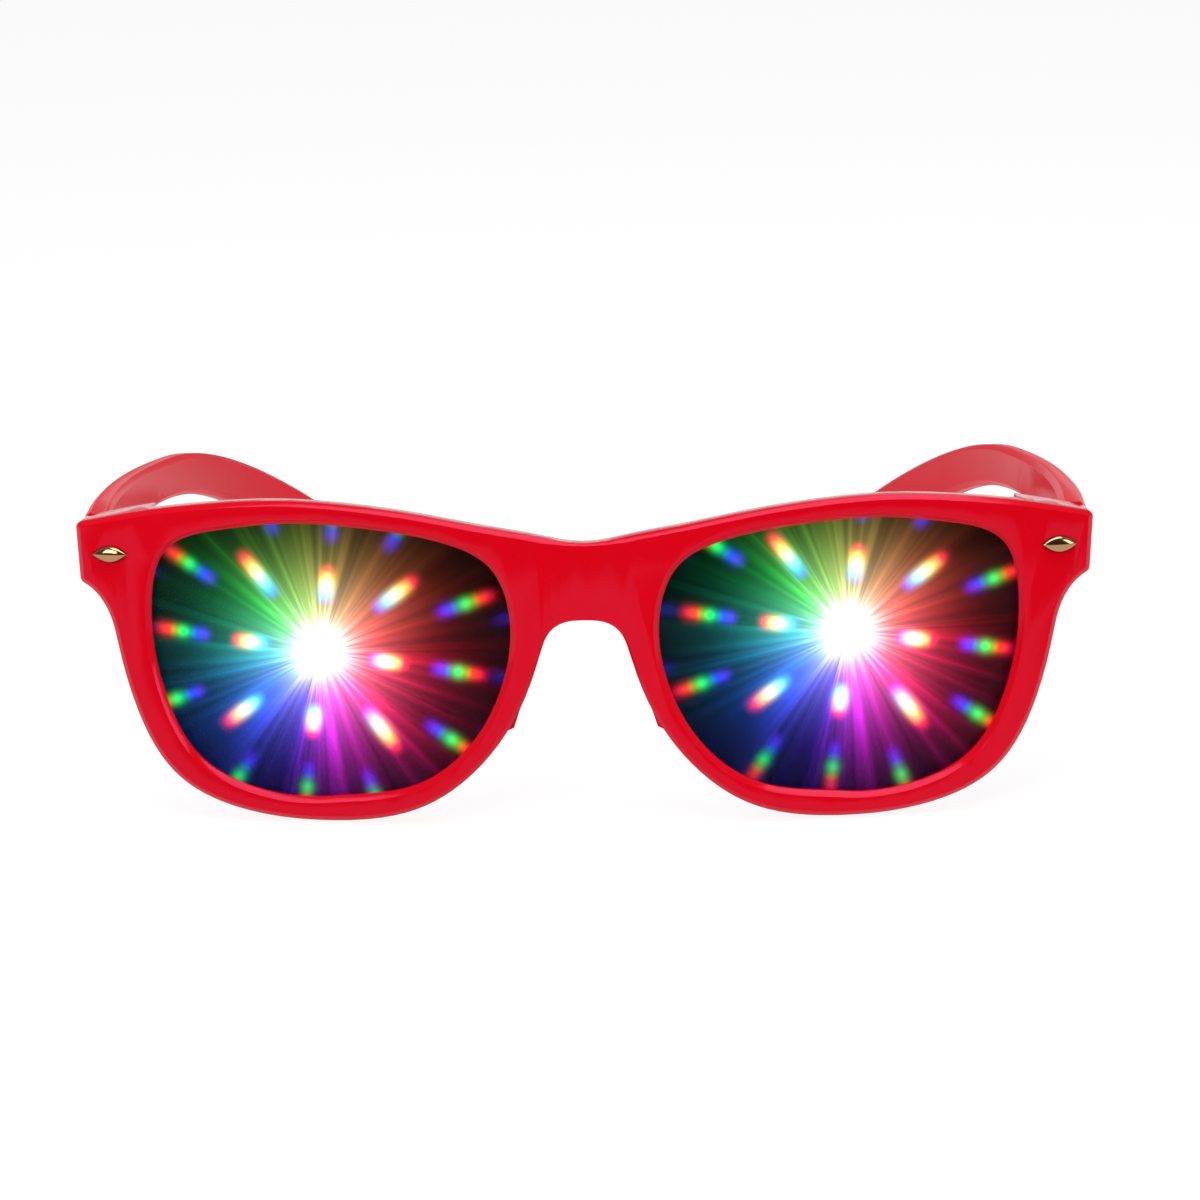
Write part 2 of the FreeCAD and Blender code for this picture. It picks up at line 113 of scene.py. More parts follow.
def linear(code):
    """An sRGB hex colour as linear RGBA."""
    shares = [int(code[k:k + 2], 16) / 255 for k in (0, 2, 4)]
    return [c / 12.92 if c <= 0.04045 else ((c + 0.055) / 1.055) ** 2.4 for c in shares] + [1.0]


def add(tree, kind, inputs=(), stops=(), **settings):
    """A node of a kind with its settings. An input, by index or name, is a value, a socket or a node
    whose first output is taken. A ramp's stops are places with their colours."""
    node = tree.nodes.new(kind)
    for name, value in settings.items():
        setattr(node, name, value)
    for key, value in (inputs.items() if isinstance(inputs, dict) else enumerate(inputs)):
        source = value.outputs[0] if isinstance(value, bpy.types.Node) else value
        if isinstance(source, bpy.types.NodeSocket):
            tree.links.new(source, node.inputs[key])
        else:
            node.inputs[key].default_value = source
    for index, (position, code) in enumerate(stops):
        elements = node.color_ramp.elements
        if index == 0:
            elements.remove(elements[-1])
            elements[0].position = position
        element = elements.new(position) if index else elements[0]
        element.color = linear(code)
    return node


def new_material(name):
    material = bpy.data.materials.new(name)
    material.use_nodes = True
    material.node_tree.nodes.clear()
    return material, material.node_tree


# Moulded plastic: the sizes of its orange peel, its flow marks and its scuffs
PEEL_SIZE = 1.6
PEEL_DEPTH = 0.05
FLOW_SIZE = 30.0
SCUFF_SIZE = 2.2
SCUFF_STRETCH = (1.0, 1.0, 9.0)
SCUFF_TURN = (0.3, 0.5, 0.7)
SCUFF_STOPS = ((0.60, "000000"), (0.72, "FFFFFF"))
SCUFF_DULLING = 0.16
DEEP_PIGMENT = 0.86
LIGHT_DEPTH = 1.2


def moulded_red(name, code, roughness, gleam, glaze):
    """Injection-moulded polycarbonate, coloured right through: glassy gloss with a faint orange
    peel, hairline scuffs from handling, and slight drifts of pigment along the flow. A polished
    skin mirrors by its gleam, and a tumbled skin has a softer glaze instead."""
    material, tree = new_material(name)
    spot = add(tree, "ShaderNodeTexCoord").outputs["Object"]
    peel = add(tree, "ShaderNodeTexNoise", {"Vector": spot, "Scale": 1 / (PEEL_SIZE * MM), "Detail": 2.0})
    flow = add(tree, "ShaderNodeTexNoise", {"Vector": spot, "Scale": 1 / (FLOW_SIZE * MM), "Detail": 3.0})
    drawn = add(tree, "ShaderNodeMapping", {"Vector": spot, "Scale": SCUFF_STRETCH, "Rotation": SCUFF_TURN})
    scuffs = add(tree, "ShaderNodeTexNoise",
                 {"Vector": drawn, "Scale": 1 / (SCUFF_SIZE * MM), "Detail": 6.0, "Roughness": 0.7})
    thin = add(tree, "ShaderNodeValToRGB", {"Fac": scuffs}, SCUFF_STOPS)
    gloss = add(tree, "ShaderNodeMapRange",
                {"Value": thin, "To Min": roughness, "To Max": roughness + SCUFF_DULLING})
    base = linear(code)
    deep = [c * DEEP_PIGMENT for c in base[:3]] + [1.0]
    pigment = add(tree, "ShaderNodeMix", {"Factor": flow, "A": deep, "B": base}, data_type="RGBA")
    bump = add(tree, "ShaderNodeBump", {"Height": peel, "Strength": 0.06, "Distance": PEEL_DEPTH * MM})
    shader = add(tree, "ShaderNodeBsdfPrincipled", {
        "Base Color": pigment.outputs["Result"], "Roughness": gloss, "Normal": bump, "Coat Normal": bump,
        "IOR": 1.585, "Specular IOR Level": gleam, "Specular Tint": linear("FF84C4"),
        "Coat Weight": glaze, "Coat Roughness": 0.2,
        "Subsurface Weight": 0.06, "Subsurface Scale": LIGHT_DEPTH * MM,
        "Subsurface Radius": (1.0, 0.12, 0.1)})
    add(tree, "ShaderNodeOutputMaterial", {"Surface": shader})
    return material


# Plated studs: the width of their rub marks, drawn out along the stud
RUB_SIZE = 0.12
RUB_DEPTH = 0.01
RUB_STRETCH = (0.08, 1.0, 1.0)


def polished_plate(name, code):
    """Warm plate over a stamped stud: near mirror, with fine rub marks along its length."""
    material, tree = new_material(name)
    spot = add(tree, "ShaderNodeTexCoord").outputs["Object"]
    drawn = add(tree, "ShaderNodeMapping", {"Vector": spot, "Scale": RUB_STRETCH})
    rubs = add(tree, "ShaderNodeTexNoise", {"Vector": drawn, "Scale": 1 / (RUB_SIZE * MM), "Detail": 3.0})
    gloss = add(tree, "ShaderNodeMapRange", {"Value": rubs, "To Min": 0.06, "To Max": 0.16})
    bump = add(tree, "ShaderNodeBump", {"Height": rubs, "Strength": 0.04, "Distance": RUB_DEPTH * MM})
    shader = add(tree, "ShaderNodeBsdfPrincipled",
                 {"Base Color": linear(code), "Roughness": gloss, "Normal": bump, "Metallic": 1.0})
    add(tree, "ShaderNodeOutputMaterial", {"Surface": shader})
    return material


# Steel hinge parts: the grain of the stamped leaves and of the turned screws
LEAF_GRAIN = 0.10
SCREW_GRAIN = 0.06
GRAIN_DEPTH = 0.02
GRAIN_STRETCH = (1.0, 1.0, 0.06)
GRAIN_SHADE = 0.72


def tumbled_steel(name, code, grain):
    """Stamped or turned steel, tumbled: satin, with short drawn grain and darker nicks."""
    material, tree = new_material(name)
    spot = add(tree, "ShaderNodeTexCoord").outputs["Object"]
    drawn = add(tree, "ShaderNodeMapping", {"Vector": spot, "Scale": GRAIN_STRETCH})
    lines = add(tree, "ShaderNodeTexNoise", {"Vector": drawn, "Scale": 1 / (grain * MM), "Detail": 4.0})
    gloss = add(tree, "ShaderNodeMapRange", {"Value": lines, "To Min": 0.24, "To Max": 0.44})
    base = linear(code)
    dark = [c * GRAIN_SHADE for c in base[:3]] + [1.0]
    shade = add(tree, "ShaderNodeMix", {"Factor": lines, "A": dark, "B": base}, data_type="RGBA")
    bump = add(tree, "ShaderNodeBump", {"Height": lines, "Strength": 0.12, "Distance": GRAIN_DEPTH * MM})
    shader = add(tree, "ShaderNodeBsdfPrincipled",
                 {"Base Color": shade.outputs["Result"], "Roughness": gloss, "Normal": bump, "Metallic": 1.0})
    add(tree, "ShaderNodeOutputMaterial", {"Surface": shader})
    return material


# Grating lattice, level: the step of one order along each ruling, at the middle wavelength
ORDER_ACROSS = Vector((9.9, 0.0, -1.4))
ORDER_UP = Vector((1.15, 0.0, 9.8))

# Orders: how many steps along each ruling, brightness, and share of a streak's height
ORDERS = ((1, 0, 3.2, 0.85), (0, 1, 3.0, 0.9), (1, 1, 2.3, 0.9), (1, -1, 2.3, 0.9), (2, 0, 1.9, 0.9),
          (2, 1, 1.5, 0.9), (2, -1, 1.5, 0.9), (0, 2, 0.9, 0.9), (1, 2, 0.9, 0.9), (1, -2, 0.9, 0.9),
          (3, 0, 0.22, 0.9), (3, 1, 0.25, 0.9), (3, -1, 0.25, 0.9))

# Streaks: their half height, and their half lengths as shares of an order's distance
STREAK_HALF_HEIGHT = 0.95
FIRST_RING_REACH = 1.6
FIRST_HALF_LENGTH = 0.27
STREAK_HALF_LENGTH = 0.19

# Colour along a streak, by wavelength over the middle one: the outer orders, and the bright first ring
SPREAD_LOW, SPREAD_HIGH = 0.65, 1.4
SPECTRUM = ((0.76, "000000"), (0.84, "4A22F0"), (0.90, "2440E0"), (0.95, "0E8C70"), (1.0, "22E060"),
            (1.05, "6AA020"), (1.10, "E0401C"), (1.17, "F01438"), (1.26, "000000"))
FIRST_SPECTRUM = ((0.66, "000000"), (0.73, "2A3AE8"), (0.82, "3AA0F0"), (0.92, "90F0E4"), (1.02, "F4F4A4"),
                  (1.12, "FFA850"), (1.22, "F02A40"), (1.36, "000000"))

# Colour of the long rays by direction, from the wearer's left side round over the top
RAY_COLOURS = ((0.0, "B40A24"), (0.10, "983A20"), (0.20, "987438"), (0.30, "6A9434"), (0.40, "0CAA3E"),
               (0.50, "0A8E8C"), (0.60, "1254D4"), (0.70, "4420D0"), (0.78, "C418C0"), (0.88, "DC1060"),
               (1.0, "B40A24"))

# Long rays: how closely the broad and the fine ones stand, how sharp and bright, and how far they reach
BROAD_RAYS, BROAD_SHARPNESS, BROAD_GAIN = 5.0, 3.0, 7.0
FINE_RAYS, FINE_SHARPNESS, FINE_GAIN = 12.0, 4.0, 13.0
VEIL_FLOOR, VEIL_REACH, VEIL_GAIN = 0.25, 11.0, 2.4
NEEDLE_REACH, NEEDLE_GAIN = 6.0, 2.2

# White core: an uneven star and a soft bloom round it
STAR_RADIUS, STAR_GAIN = 3.8, 2.4
STAR_UNEVENNESS, STAR_LEAST = 1.5, 0.22
BLOOM_RADIUS, BLOOM_GAIN = 8.0, 0.3


def bell(tree, distance, width):
    """Light that falls off with distance as exp(-(distance / width)^2)."""
    share = add(tree, MATH, (distance, width), operation="DIVIDE")
    square = add(tree, MATH, (share, share), operation="MULTIPLY")
    return add(tree, MATH, (add(tree, MATH, (square, -1.0), operation="MULTIPLY"),), operation="EXPONENT")


def burst_rays(tree, seen):
    """The white core and the long coloured rays round it, as a colour."""
    radius = add(tree, VECTOR_MATH, (seen,), operation="LENGTH").outputs["Value"]
    direction = add(tree, VECTOR_MATH, (seen,), operation="NORMALIZE")
    parts = add(tree, "ShaderNodeSeparateXYZ", (seen,))
    angle = add(tree, MATH, (parts.outputs["Z"], parts.outputs["X"]), operation="ARCTAN2")
    turns = add(tree, MATH, (angle, 2 * math.pi), operation="DIVIDE")
    turn = add(tree, MATH, (turns,), operation="FRACT")
    hue = add(tree, "ShaderNodeValToRGB", {"Fac": turn}, RAY_COLOURS)

    broad = add(tree, "ShaderNodeTexNoise", {"Vector": direction, "Scale": BROAD_RAYS, "Detail": 2.0})
    broad = add(tree, MATH, (broad, BROAD_SHARPNESS), operation="POWER")
    broad = add(tree, MATH, (broad, BROAD_GAIN), operation="MULTIPLY")
    veil = add(tree, MATH, (broad, VEIL_FLOOR), operation="ADD")
    veil = add(tree, MATH, (veil, bell(tree, radius, VEIL_REACH)), operation="MULTIPLY")
    veil = add(tree, MATH, (veil, VEIL_GAIN), operation="MULTIPLY")

    fine = add(tree, "ShaderNodeTexNoise",
               {"Vector": direction, "Scale": FINE_RAYS, "Detail": 3.0, "Roughness": 0.6})
    needles = add(tree, MATH, (fine, FINE_SHARPNESS), operation="POWER")
    needles = add(tree, MATH, (needles, FINE_GAIN * NEEDLE_GAIN), operation="MULTIPLY")
    fading = add(tree, MATH, (radius, -NEEDLE_REACH), operation="DIVIDE")
    fading = add(tree, MATH, (fading,), operation="EXPONENT")
    needles = add(tree, MATH, (needles, fading), operation="MULTIPLY")
    strength = add(tree, MATH, (veil, needles), operation="ADD")
    rays = add(tree, VECTOR_MATH, {0: hue, "Scale": strength}, operation="SCALE")

    uneven = add(tree, MATH, (fine, STAR_UNEVENNESS), operation="MULTIPLY")
    uneven = add(tree, MATH, (uneven, STAR_LEAST), operation="ADD")
    drawn = add(tree, MATH, (radius, uneven), operation="DIVIDE")
    star = add(tree, MATH, (bell(tree, drawn, STAR_RADIUS), STAR_GAIN), operation="MULTIPLY")
    bloom = add(tree, MATH, (bell(tree, radius, BLOOM_RADIUS), BLOOM_GAIN), operation="MULTIPLY")
    white = add(tree, MATH, (star, bloom), operation="ADD")
    core = add(tree, "ShaderNodeCombineXYZ", (white, white, white))
    return add(tree, VECTOR_MATH, (rays, core), operation="ADD")


def order_streak(tree, seen, across, up, brightness, height):
    """One order of the grating and its twin on the far side, spread from blue inside to red outside."""
    order = ORDER_ACROSS * across + ORDER_UP * up
    length = order.length
    along = add(tree, VECTOR_MATH, (seen, order / length ** 2), operation="DOT_PRODUCT").outputs["Value"]
    along = add(tree, MATH, (along,), operation="ABSOLUTE")
    normal = Vector((-order.z, 0.0, order.x)) / length
    off = add(tree, VECTOR_MATH, (seen, normal), operation="DOT_PRODUCT").outputs["Value"]
    first = across ** 2 + up ** 2 < FIRST_RING_REACH ** 2
    half_length = FIRST_HALF_LENGTH if first else STREAK_HALF_LENGTH
    beyond = add(tree, MATH, (along, 1.0), operation="SUBTRACT")
    beyond = add(tree, MATH, (beyond, beyond), operation="MULTIPLY")
    streak = bell(tree, off, STREAK_HALF_HEIGHT * height)
    streak = add(tree, MATH, (streak, brightness), operation="MULTIPLY")
    streak = add(tree, MATH, (streak, bell(tree, beyond, half_length ** 2)), operation="MULTIPLY")
    share = add(tree, "ShaderNodeMapRange", {"Value": along, "From Min": SPREAD_LOW, "From Max": SPREAD_HIGH})
    stops = [((position - SPREAD_LOW) / (SPREAD_HIGH - SPREAD_LOW), code)
             for position, code in (FIRST_SPECTRUM if first else SPECTRUM)]
    colour = add(tree, "ShaderNodeValToRGB", {"Fac": share}, stops)
    return add(tree, VECTOR_MATH, {0: colour, "Scale": streak}, operation="SCALE")


def diffracting_film(name, side):
    """Embossed polyester film, ruled both ways: one lamp seen through it becomes a white core with
    coloured rays and a lattice of orders. The rulings, some hundreds to a millimetre, are far too
    fine to draw, so what they make of the lamp is painted light: a burst drawn as a glow given off
    by a dark film, which is no lamp."""
    material, tree = new_material(name)
    spot = add(tree, "ShaderNodeTexCoord").outputs["Object"]
    spot = add(tree, VECTOR_MATH, {0: spot, "Scale": 1 / MM}, operation="SCALE")
    spot = add(tree, VECTOR_MATH, (spot, BASE), operation="SUBTRACT")
    level = add(tree, "ShaderNodeMapping", {"Vector": spot, "Rotation": (LEAN, 0.0, 0.0)})
    flat = add(tree, VECTOR_MATH, (level, (1.0, 0.0, 1.0)), operation="MULTIPLY")
    seen = add(tree, VECTOR_MATH, (flat, BURST_MIDDLE[side]), operation="SUBTRACT")
    light = burst_rays(tree, seen)
    for order in ORDERS:
        light = add(tree, VECTOR_MATH, (light, order_streak(tree, seen, *order)), operation="ADD")
    # Painted light: the film's emission glows with the drawn burst over its near-black base
    shader = add(tree, "ShaderNodeBsdfPrincipled",
                 {"Base Color": linear("040506"), "Roughness": 0.6, "Specular IOR Level": 0.05,
                  "Emission Color": light, "Emission Strength": 1.0})
    add(tree, "ShaderNodeOutputMaterial", {"Surface": shader})
    return material


# Lens surface: the size and the way of its wiping hairlines
HAIR_SIZE = 1.4
HAIR_STRETCH = (1.0, 1.0, 12.0)
HAIR_TURN = (0.0, 0.9, 0.0)


def clear_plate(name):
    """Clear cut polycarbonate lens: water white and polished, with a few wiping hairlines. Its hard
    coat and the film bonded behind it leave only a faint mirror, so its tint is near black."""
    material, tree = new_material(name)
    spot = add(tree, "ShaderNodeTexCoord").outputs["Object"]
    wiped = add(tree, "ShaderNodeMapping", {"Vector": spot, "Scale": HAIR_STRETCH, "Rotation": HAIR_TURN})
    hairs = add(tree, "ShaderNodeTexNoise", {"Vector": wiped, "Scale": 1 / (HAIR_SIZE * MM), "Detail": 5.0})
    gloss = add(tree, "ShaderNodeMapRange",
                {"Value": hairs, "From Min": 0.55, "From Max": 0.75, "To Min": 0.015, "To Max": 0.06})
    shader = add(tree, "ShaderNodeBsdfPrincipled",
                 {"Base Color": linear("FFFFFF"), "Roughness": gloss, "IOR": 1.49, "Transmission Weight": 1.0,
                  "Specular IOR Level": 0.15, "Specular Tint": (0.04, 0.04, 0.05, 1.0)})
    add(tree, "ShaderNodeOutputMaterial", {"Surface": shader})
    return material


RED_FRONT = moulded_red("moulded_red_polycarbonate_front", "D20416", 0.15, 0.28, 0.0)
RED_TEMPLE = moulded_red("moulded_red_polycarbonate_temple", "DC0A24", 0.2, 0.0, 0.42)
STUD = polished_plate("polished_plate_stud", "B08860")
LEAF = tumbled_steel("stamped_steel_hinge", "A8A6A2", LEAF_GRAIN)
SCREW = tumbled_steel("turned_steel_screw", "B9B6AE", SCREW_GRAIN)
LENS = clear_plate("clear_polycarbonate_lens")
FILM = {side: diffracting_film("embossed_cross_ruled_film_" + side, side) for side in SIDES}


def finish_of(name):
    """The material of a CAD node, by what the piece is."""
    side, _, kind = name.partition("_")
    if kind == "lens":
        return LENS
    if kind == "grating_film":
        return FILM[side]
    if kind == "front_stud":
        return STUD
    if kind == "temple":
        return RED_TEMPLE
    if "screw" in kind:
        return SCREW
    return LEAF if "leaf" in kind else RED_FRONT


for name, node in frame["nodes"].items():
    node.data.materials.clear()
    node.data.materials.append(finish_of(name))


def finished(piece, node, body):
    """A piece's live modifiers turned to its mesh, and the piece set in place of its CAD node."""
    bpy.context.view_layer.update()
    evaluated = piece.evaluated_get(bpy.context.evaluated_depsgraph_get())
    final = bpy.data.meshes.new_from_object(evaluated)
    piece.modifiers.clear()
    piece.data = final
    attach(piece, body)
    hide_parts(node)
    return final


# Moulded edges: how far each is rounded, and how sharp an edge has to be for it
FRONT_ROUNDING = 0.25
TEMPLE_ROUNDING = 0.3
ROUNDING_SEGMENTS = 3
SHARP_EDGE = math.radians(20)
FLAT_EDGE = math.radians(0.6)
MERGE_DISTANCE = 0.002


def rounded_copy(node, width, material):
    """A moulded piece as a copy of its solid with softly rounded edges."""
    source = frame["nodes"][node]
    mesh = bmesh.new()
    mesh.from_mesh(source.data)
    bmesh.ops.remove_doubles(mesh, verts=mesh.verts, dist=MERGE_DISTANCE * MM)
    bmesh.ops.dissolve_limit(mesh, angle_limit=FLAT_EDGE, verts=mesh.verts, edges=mesh.edges)
    data = bpy.data.meshes.new(node + "_moulded")
    mesh.to_mesh(data)
    mesh.free()
    for polygon in data.polygons:
        polygon.use_smooth = True
    data.materials.append(material)
    piece = bpy.data.objects.new(node + "_moulded", data)
    bpy.context.scene.collection.objects.link(piece)
    rounding = piece.modifiers.new("rounding", "BEVEL")
    rounding.width = width * MM
    rounding.segments = ROUNDING_SEGMENTS
    rounding.limit_method = "ANGLE"
    rounding.angle_limit = SHARP_EDGE
    rounding.use_clamp_overlap = True
    rounding.harden_normals = True
    finished(piece, node, source["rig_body"])


rounded_copy("frame_front", FRONT_ROUNDING, RED_FRONT)
for side in SIDES:
    rounded_copy(side + "_temple", TEMPLE_ROUNDING, RED_TEMPLE)

# Leaf screws: slotted pan heads that sit on the leaves, a shade inside their solids
HEAD_RADIUS = 0.9
HEAD_HEIGHT = 0.45
SHANK_RADIUS = 0.53
SLOT_WIDTH = 0.28
SLOT_DEPTH = 0.24
SLOT_OVERRUN = 2.4
SHANK_DROP = 0.49
FRONT_SCREW_LENGTH = 3.9
TEMPLE_SCREW_LENGTH = 2.9
SCREW_SPIN_SEED = 5
SCREW_CREASE = math.radians(30)

# Seats on the leaves, from the hinge axis, and the way that the heads face
FRONT_SCREW_SEATS = ((-3.0, -0.5, -1.6), (-3.0, -0.5, 1.6))
FRONT_FACING = (0.0, 1.0, 0.0)
TEMPLE_SCREW_SEATS = ((0.5, 4.0, 0.0), (0.5, 7.0, 0.0))
TEMPLE_FACING = (-1.0, 0.0, 0.0)
TEMPLE_SPLAY = math.radians(5.0)


def slotted_screw_tree():
    """Geometry nodes for slotted pan-head screws: one on each point, its head along the point's facing."""
    tree = bpy.data.node_groups.new("slotted_screws", "GeometryNodeTree")
    tree.interface.new_socket("Geometry", in_out="INPUT", socket_type="NodeSocketGeometry")
    sizes = (("Head Radius", HEAD_RADIUS), ("Head Height", HEAD_HEIGHT), ("Shank Radius", SHANK_RADIUS),
             ("Length", TEMPLE_SCREW_LENGTH), ("Slot Width", SLOT_WIDTH), ("Slot Depth", SLOT_DEPTH))
    for name, value in sizes:
        socket = tree.interface.new_socket(name, in_out="INPUT", socket_type="NodeSocketFloat")
        socket.default_value = value * MM
    tree.interface.new_socket("Finish", in_out="INPUT", socket_type="NodeSocketMaterial")
    tree.interface.new_socket("Geometry", in_out="OUTPUT", socket_type="NodeSocketGeometry")
    given = add(tree, "NodeGroupInput").outputs

    def stood(shape, height):
        up = add(tree, "ShaderNodeCombineXYZ", {"Z": height})
        return add(tree, "GeometryNodeTransform", {"Geometry": shape, "Translation": up})

    rim_height = add(tree, MATH, (given["Head Height"], 0.5), operation="MULTIPLY")
    half_rim = add(tree, MATH, (rim_height, 0.5), operation="MULTIPLY")
    rim = add(tree, "GeometryNodeMeshCylinder",
              {"Radius": given["Head Radius"], "Depth": rim_height, "Vertices": 32})
    dome = add(tree, "GeometryNodeMeshUVSphere",
               {"Radius": given["Head Radius"], "Segments": 32, "Rings": 16})
    flatness = add(tree, MATH, (rim_height, given["Head Radius"]), operation="DIVIDE")
    squat = add(tree, "ShaderNodeCombineXYZ", (1.0, 1.0, flatness))
    dome = add(tree, "GeometryNodeTransform", {"Geometry": dome, "Scale": squat})
    shank = add(tree, "GeometryNodeMeshCylinder",
                {"Radius": given["Shank Radius"], "Depth": given["Length"], "Vertices": 24})
    drop = add(tree, MATH, (given["Length"], -SHANK_DROP), operation="MULTIPLY")
    body = add(tree, "GeometryNodeMeshBoolean", operation="UNION")
    for shape, height in ((rim, half_rim), (dome, rim_height), (shank, drop)):
        tree.links.new(stood(shape, height).outputs[0], body.inputs["Mesh 2"])
    slot_length = add(tree, MATH, (given["Head Radius"], SLOT_OVERRUN), operation="MULTIPLY")
    slot_size = add(tree, "ShaderNodeCombineXYZ", (slot_length, given["Slot Width"], given["Slot Depth"]))
    slot = stood(add(tree, "GeometryNodeMeshCube", {"Size": slot_size}), given["Head Height"])
    cut = add(tree, "GeometryNodeMeshBoolean", {"Mesh 1": body, "Mesh 2": slot}, operation="DIFFERENCE")

    facing = add(tree, "GeometryNodeInputNamedAttribute", {"Name": "facing"}, data_type="FLOAT_VECTOR")
    turn = add(tree, "FunctionNodeAlignRotationToVector", {"Vector": facing.outputs["Attribute"]}, axis="Z")
    spin = add(tree, "FunctionNodeRandomValue", {"Max": math.pi, "Seed": SCREW_SPIN_SEED}, data_type="FLOAT")
    about = add(tree, "ShaderNodeCombineXYZ", {"Z": spin.outputs["Value"]})
    spun = add(tree, "FunctionNodeEulerToRotation", (about,))
    turned = add(tree, "FunctionNodeRotateRotation", {"Rotation": turn, "Rotate By": spun},
                 rotation_space="LOCAL")
    copies = add(tree, "GeometryNodeInstanceOnPoints",
                 {"Points": given["Geometry"], "Instance": cut, "Rotation": turned})
    real = add(tree, "GeometryNodeRealizeInstances", {"Geometry": copies})
    coated = add(tree, "GeometryNodeSetMaterial", {"Geometry": real, "Material": given["Finish"]})
    add(tree, "NodeGroupOutput", {"Geometry": coated})
    return tree


SCREW_TREE = slotted_screw_tree()


def leaf_screws(node, seats, facing, splay, length):
    """The screws of one leaf, made by the screw tree at their seats on the leaf."""
    side = SIDES[node.partition("_")[0]]
    swing = Matrix.Rotation(-splay, 3, "Z")

    def at_hinge(point):
        spot = swing @ Vector(point)
        spot.x *= side
        return spot

    hinge = Vector((HINGE_LEVEL.x * side, HINGE_LEVEL.y, HINGE_LEVEL.z))
    data = bpy.data.meshes.new(node + "_seats")
    data.from_pydata([placed(hinge + at_hinge(seat)) for seat in seats], [], [])
    towards = data.attributes.new("facing", "FLOAT_VECTOR", "POINT")
    for item in towards.data:
        item.vector = LEANING.to_3x3() @ at_hinge(facing)
    piece = bpy.data.objects.new(node + "_slotted", data)
    bpy.context.scene.collection.objects.link(piece)
    modifier = piece.modifiers.new("screws", "NODES")
    modifier.node_group = SCREW_TREE
    sockets = {item.name: item.identifier for item in SCREW_TREE.interface.items_tree
               if item.in_out == "INPUT"}
    modifier[sockets["Length"]] = length * MM
    modifier[sockets["Finish"]] = SCREW
    final = finished(piece, node, frame["nodes"][node]["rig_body"])
    final.set_sharp_from_angle(angle=SCREW_CREASE)


for side in SIDES:
    leaf_screws(side + "_front_leaf_screws", FRONT_SCREW_SEATS, FRONT_FACING, 0.0, FRONT_SCREW_LENGTH)
    leaf_screws(side + "_temple_leaf_screws", TEMPLE_SCREW_SEATS, TEMPLE_FACING, TEMPLE_SPLAY,
                TEMPLE_SCREW_LENGTH)

# Studs: pointed ovals with a domed crown, inlaid in the end pieces on the curve of the face
STUD_LENGTH = 5.2
STUD_HEIGHT = 2.4
STUD_RISE = 0.72
STUD_SEAT = 0.3
STUD_MIDDLE = Vector((68.0, 0.0, 38.3))
STUD_STEPS_LONG, STUD_STEPS_ACROSS = 40, 20
STUD_MERGE = 0.001
STUD_CREASE = math.radians(35)
FACE_RADIUS = 337.0


def stud(side):
    """A domed stud: its crown falls off along the length and across it, to a sharp rim on its seat."""
    turn = math.asin(STUD_MIDDLE.x / FACE_RADIUS)
    seat = Matrix.Translation((STUD_MIDDLE.x, FACE_RADIUS * (1 - math.cos(turn)), STUD_MIDDLE.z))
    seat = seat @ Matrix.Rotation(turn, 4, "Z")
    mesh = bmesh.new()

    def corner(i, k, crowned):
        u = -math.cos(math.pi * i / STUD_STEPS_LONG)
        v = -math.cos(math.pi * k / STUD_STEPS_ACROSS)
        taper = 1 - u * u
        crown = math.sqrt(max(0.0, taper * (1 - v * v)))
        depth = -STUD_RISE * crown if crowned else STUD_SEAT
        spot = seat @ Vector((u * STUD_LENGTH / 2, depth, v * taper * STUD_HEIGHT / 2))
        spot.x *= SIDES[side]
        return mesh.verts.new(placed(spot))

    for crowned in (True, False):
        grid = [[corner(i, k, crowned) for k in range(STUD_STEPS_ACROSS + 1)]
                for i in range(STUD_STEPS_LONG + 1)]
        for i in range(STUD_STEPS_LONG):
            for k in range(STUD_STEPS_ACROSS):
                mesh.faces.new((grid[i][k], grid[i + 1][k], grid[i + 1][k + 1], grid[i][k + 1]))
    bmesh.ops.remove_doubles(mesh, verts=mesh.verts, dist=STUD_MERGE * MM)
    rims = [edge for edge in mesh.edges if edge.is_boundary]
    bmesh.ops.bridge_loops(mesh, edges=rims)
    bmesh.ops.recalc_face_normals(mesh, faces=mesh.faces)
    data = bpy.data.meshes.new(side + "_stud_crown")
    mesh.to_mesh(data)
    mesh.free()
    data.materials.append(STUD)
    data.set_sharp_from_angle(angle=STUD_CREASE)
    piece = bpy.data.objects.new(side + "_stud_crown", data)
    bpy.context.scene.collection.objects.link(piece)
    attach(piece, "front")
    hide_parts(side + "_front_stud")


for side in SIDES:
    stud(side)


def make_camera():
    """The photograph's camera: its place, aim and roll, carried with the lean of the part."""
    level_ahead = math.cos(CAMERA_PITCH)
    ahead = Vector((math.sin(CAMERA_YAW) * level_ahead, math.cos(CAMERA_YAW) * level_ahead,
                    math.sin(CAMERA_PITCH)))
    right = Vector((math.cos(CAMERA_YAW), -math.sin(CAMERA_YAW), 0.0))
    up = right.cross(ahead)
    rolled_right = right * math.cos(CAMERA_ROLL) + up * math.sin(CAMERA_ROLL)
    rolled_up = up * math.cos(CAMERA_ROLL) - right * math.sin(CAMERA_ROLL)
    axes = Matrix((rolled_right, rolled_up, -ahead)).transposed()
    data = bpy.data.cameras.new("camera")
    data.lens = CAMERA_LENS
    data.sensor_width = CAMERA_SENSOR
    data.clip_start = CAMERA_NEAR
    data.clip_end = CAMERA_FAR
    camera = bpy.data.objects.new("camera", data)
    camera.matrix_world = Matrix.Translation(placed(CAMERA_PLACE)) @ LEANING @ axes.to_4x4()
    bpy.context.scene.collection.objects.link(camera)
    bpy.context.scene.camera = camera


